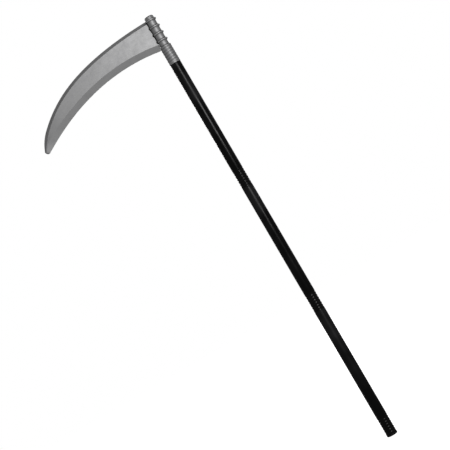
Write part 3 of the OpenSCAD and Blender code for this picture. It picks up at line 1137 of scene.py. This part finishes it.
def add_round(cage, u, z, profile, side):
    """Turned post or peg square to the blade, from a profile of radii and distances from the middle."""
    steps = 20
    rings = []
    for radius, off in profile:
        ring = []
        for step in range(steps):
            angle = TURN * step / steps
            ring.append(cage.verts.new(((-u + radius * math.cos(angle)) * MM, side * off * MM,
                                        HEAD_Z + (z + radius * math.sin(angle)) * MM)))
        rings.append(ring)
    skin(cage, rings, (profile[-1][1] - profile[0][1]) * side > 0)


def rebate_cutter():
    """Helper that follows the socket's outline further out, and leaves the blade's middle alone."""
    low = HEAD_Z + REBATE_LOW
    high = HEAD_Z + SLOT_TOP + 2 * MM
    waist = NECK_R + NECK_FLARE
    crest = RING_R + REBATE_RING_GAP
    rows = [Row(0, low), Row(waist, low)]
    for step in range(RING_COUNT):
        ring = HEAD_Z + FIRST_RING + RING_PITCH * step
        rows += [
            Row(waist + (REBATE_GAP if step else 0), ring - REBATE_RING_FOOT),
            Row(crest - REBATE_ROUNDING, ring - REBATE_RING_HALF),
            Row(crest, ring),
            Row(crest - REBATE_ROUNDING, ring + REBATE_RING_HALF),
            Row(waist + REBATE_GAP, ring + REBATE_RING_FOOT),
        ]
    rows += [Row(waist + REBATE_GAP, high), Row(0, high)]
    cutter = put_in_scene("rebate_cutter", turned_wall("rebate_cutter", rows))
    middle = block("middle", (-2 * RING_R, -REBATE_FLOOR, low - MM), (2 * RING_R, REBATE_FLOOR, high + MM))
    carve(cutter, middle, "DIFFERENCE")
    return cutter


def mark_recesses(cage):
    """Marks where painted shade darkens the blade: on the rebate's floor beside the socket and on the step
    at the notch.
    """
    recess_layer = cage.verts.layers.float.get("recess")
    for point in cage.verts:
        out, up = -point.co.x / MM, (point.co.z - HEAD_Z) / MM
        on_rebate_floor = out < NOTCH_U + 4 and abs(abs(point.co.y) - REBATE_FLOOR) < 0.05 * MM
        on_notch_step = LAND_U + 0.5 < out < NOTCH_U and up < edge_height(NOTCH_U) + EDGE_BEVEL
        if on_rebate_floor or on_notch_step:
            point[recess_layer] = 1


def make_blade_shell(name, node, side, material):
    """Half of the blade, split along its middle plane, with half the tongue and its posts or pegs."""
    cage = bmesh.new()
    wear_and_painted_light_layer = cage.verts.layers.float.new("wear")
    cage.verts.layers.float.new("recess")
    bevel_layer = cage.edges.layers.float.new("bevel_weight_edge")
    add_loft(cage, blade_slices(), side, (wear_and_painted_light_layer, bevel_layer))
    bmesh.ops.recalc_face_normals(cage, faces=cage.faces)
    piece = show(name, mesh_of(cage, name), material, "blade", node)
    ridges = piece.modifiers.new("soft ridges", "BEVEL")
    ridges.limit_method = "WEIGHT"
    ridges.width = 0.7 * MM
    ridges.segments = 3
    carve(piece, rebate_cutter(), "DIFFERENCE")

    cage = bmesh.new()
    cage.from_mesh(piece.data)
    mark_recesses(cage)
    add_tongue(cage, side)
    root = BLADE_HALF / MM - 0.5 * SHELL_WALL
    post = [(POST_R, root), (POST_R, POST_CHAMFER), (POST_R - 0.2, SEAM_GAP)]
    hole_r = PEG_R + 0.05
    hole = [(hole_r + 0.2, SEAM_GAP), (hole_r, POST_CHAMFER), (hole_r, POST_HOLE), (0.05, POST_HOLE)]
    peg = [(PEG_R, SEAM_GAP), (PEG_R, 0.3 - PEG_REACH), (PEG_R - 0.4, -PEG_REACH)]
    for u, z in PEGS:
        add_round(cage, u, z, post + (hole if side < 0 else peg), side)
    bmesh.ops.recalc_face_normals(cage, faces=cage.faces)
    cage.to_mesh(piece.data)
    cage.free()
    crisp(piece.data, 30)
    even = piece.modifiers.new("even shading", "WEIGHTED_NORMAL")
    even.weight = 90
    even.keep_sharp = True


look_at_front()
light_room()
lay_floor()

# The last argument of each silver material sets how dark its painted shade is: full on the blade's rebate
# beside the socket, less in the socket's creases. The socket's ridges are made paler than the blade's,
# partly as painted light on its rings.
blade_silver = moulded_silver("blade_silver", grey=0.405, metal=0.9, roughness=0.49,
                              stretch=(1, 4, 9), paling=1.15, painted_shade=1)
socket_silver = moulded_silver("socket_silver", grey=0.49, metal=0.8, roughness=0.55,
                               stretch=(4, 4, 1), paling=1.6, painted_shade=0.35)
tube_black = moulded_black("tube_black", grey=0.002, roughness=0.21, draw=0.05, dust=0.012)
plug_black = moulded_black("plug_black", grey=0.006, roughness=0.45, draw=0.05, dust=0.06)

for section, body, joiner, joiner_body in (
    ("pole_lower", "lower_section", None, None),
    ("pole_middle", "middle_section", "joiner_lower", "lower_joiner"),
    ("pole_upper", "upper_section", "joiner_middle", "middle_joiner"),
):
    thread_start = make_tube(section, body, tube_black)
    if joiner:
        make_joiner(joiner, joiner_body, plug_black, thread_start)
    else:
        make_foot_plug(plug_black, thread_start)
make_joiner("joiner_upper", "upper_joiner", plug_black, HEAD_Z + PITCH / 2)
make_socket(socket_silver)
make_cap(socket_silver)
make_blade_shell("blade_front_shell", "blade_front", -1, blade_silver)
make_blade_shell("blade_rear_shell", "blade_rear", 1, blade_silver)
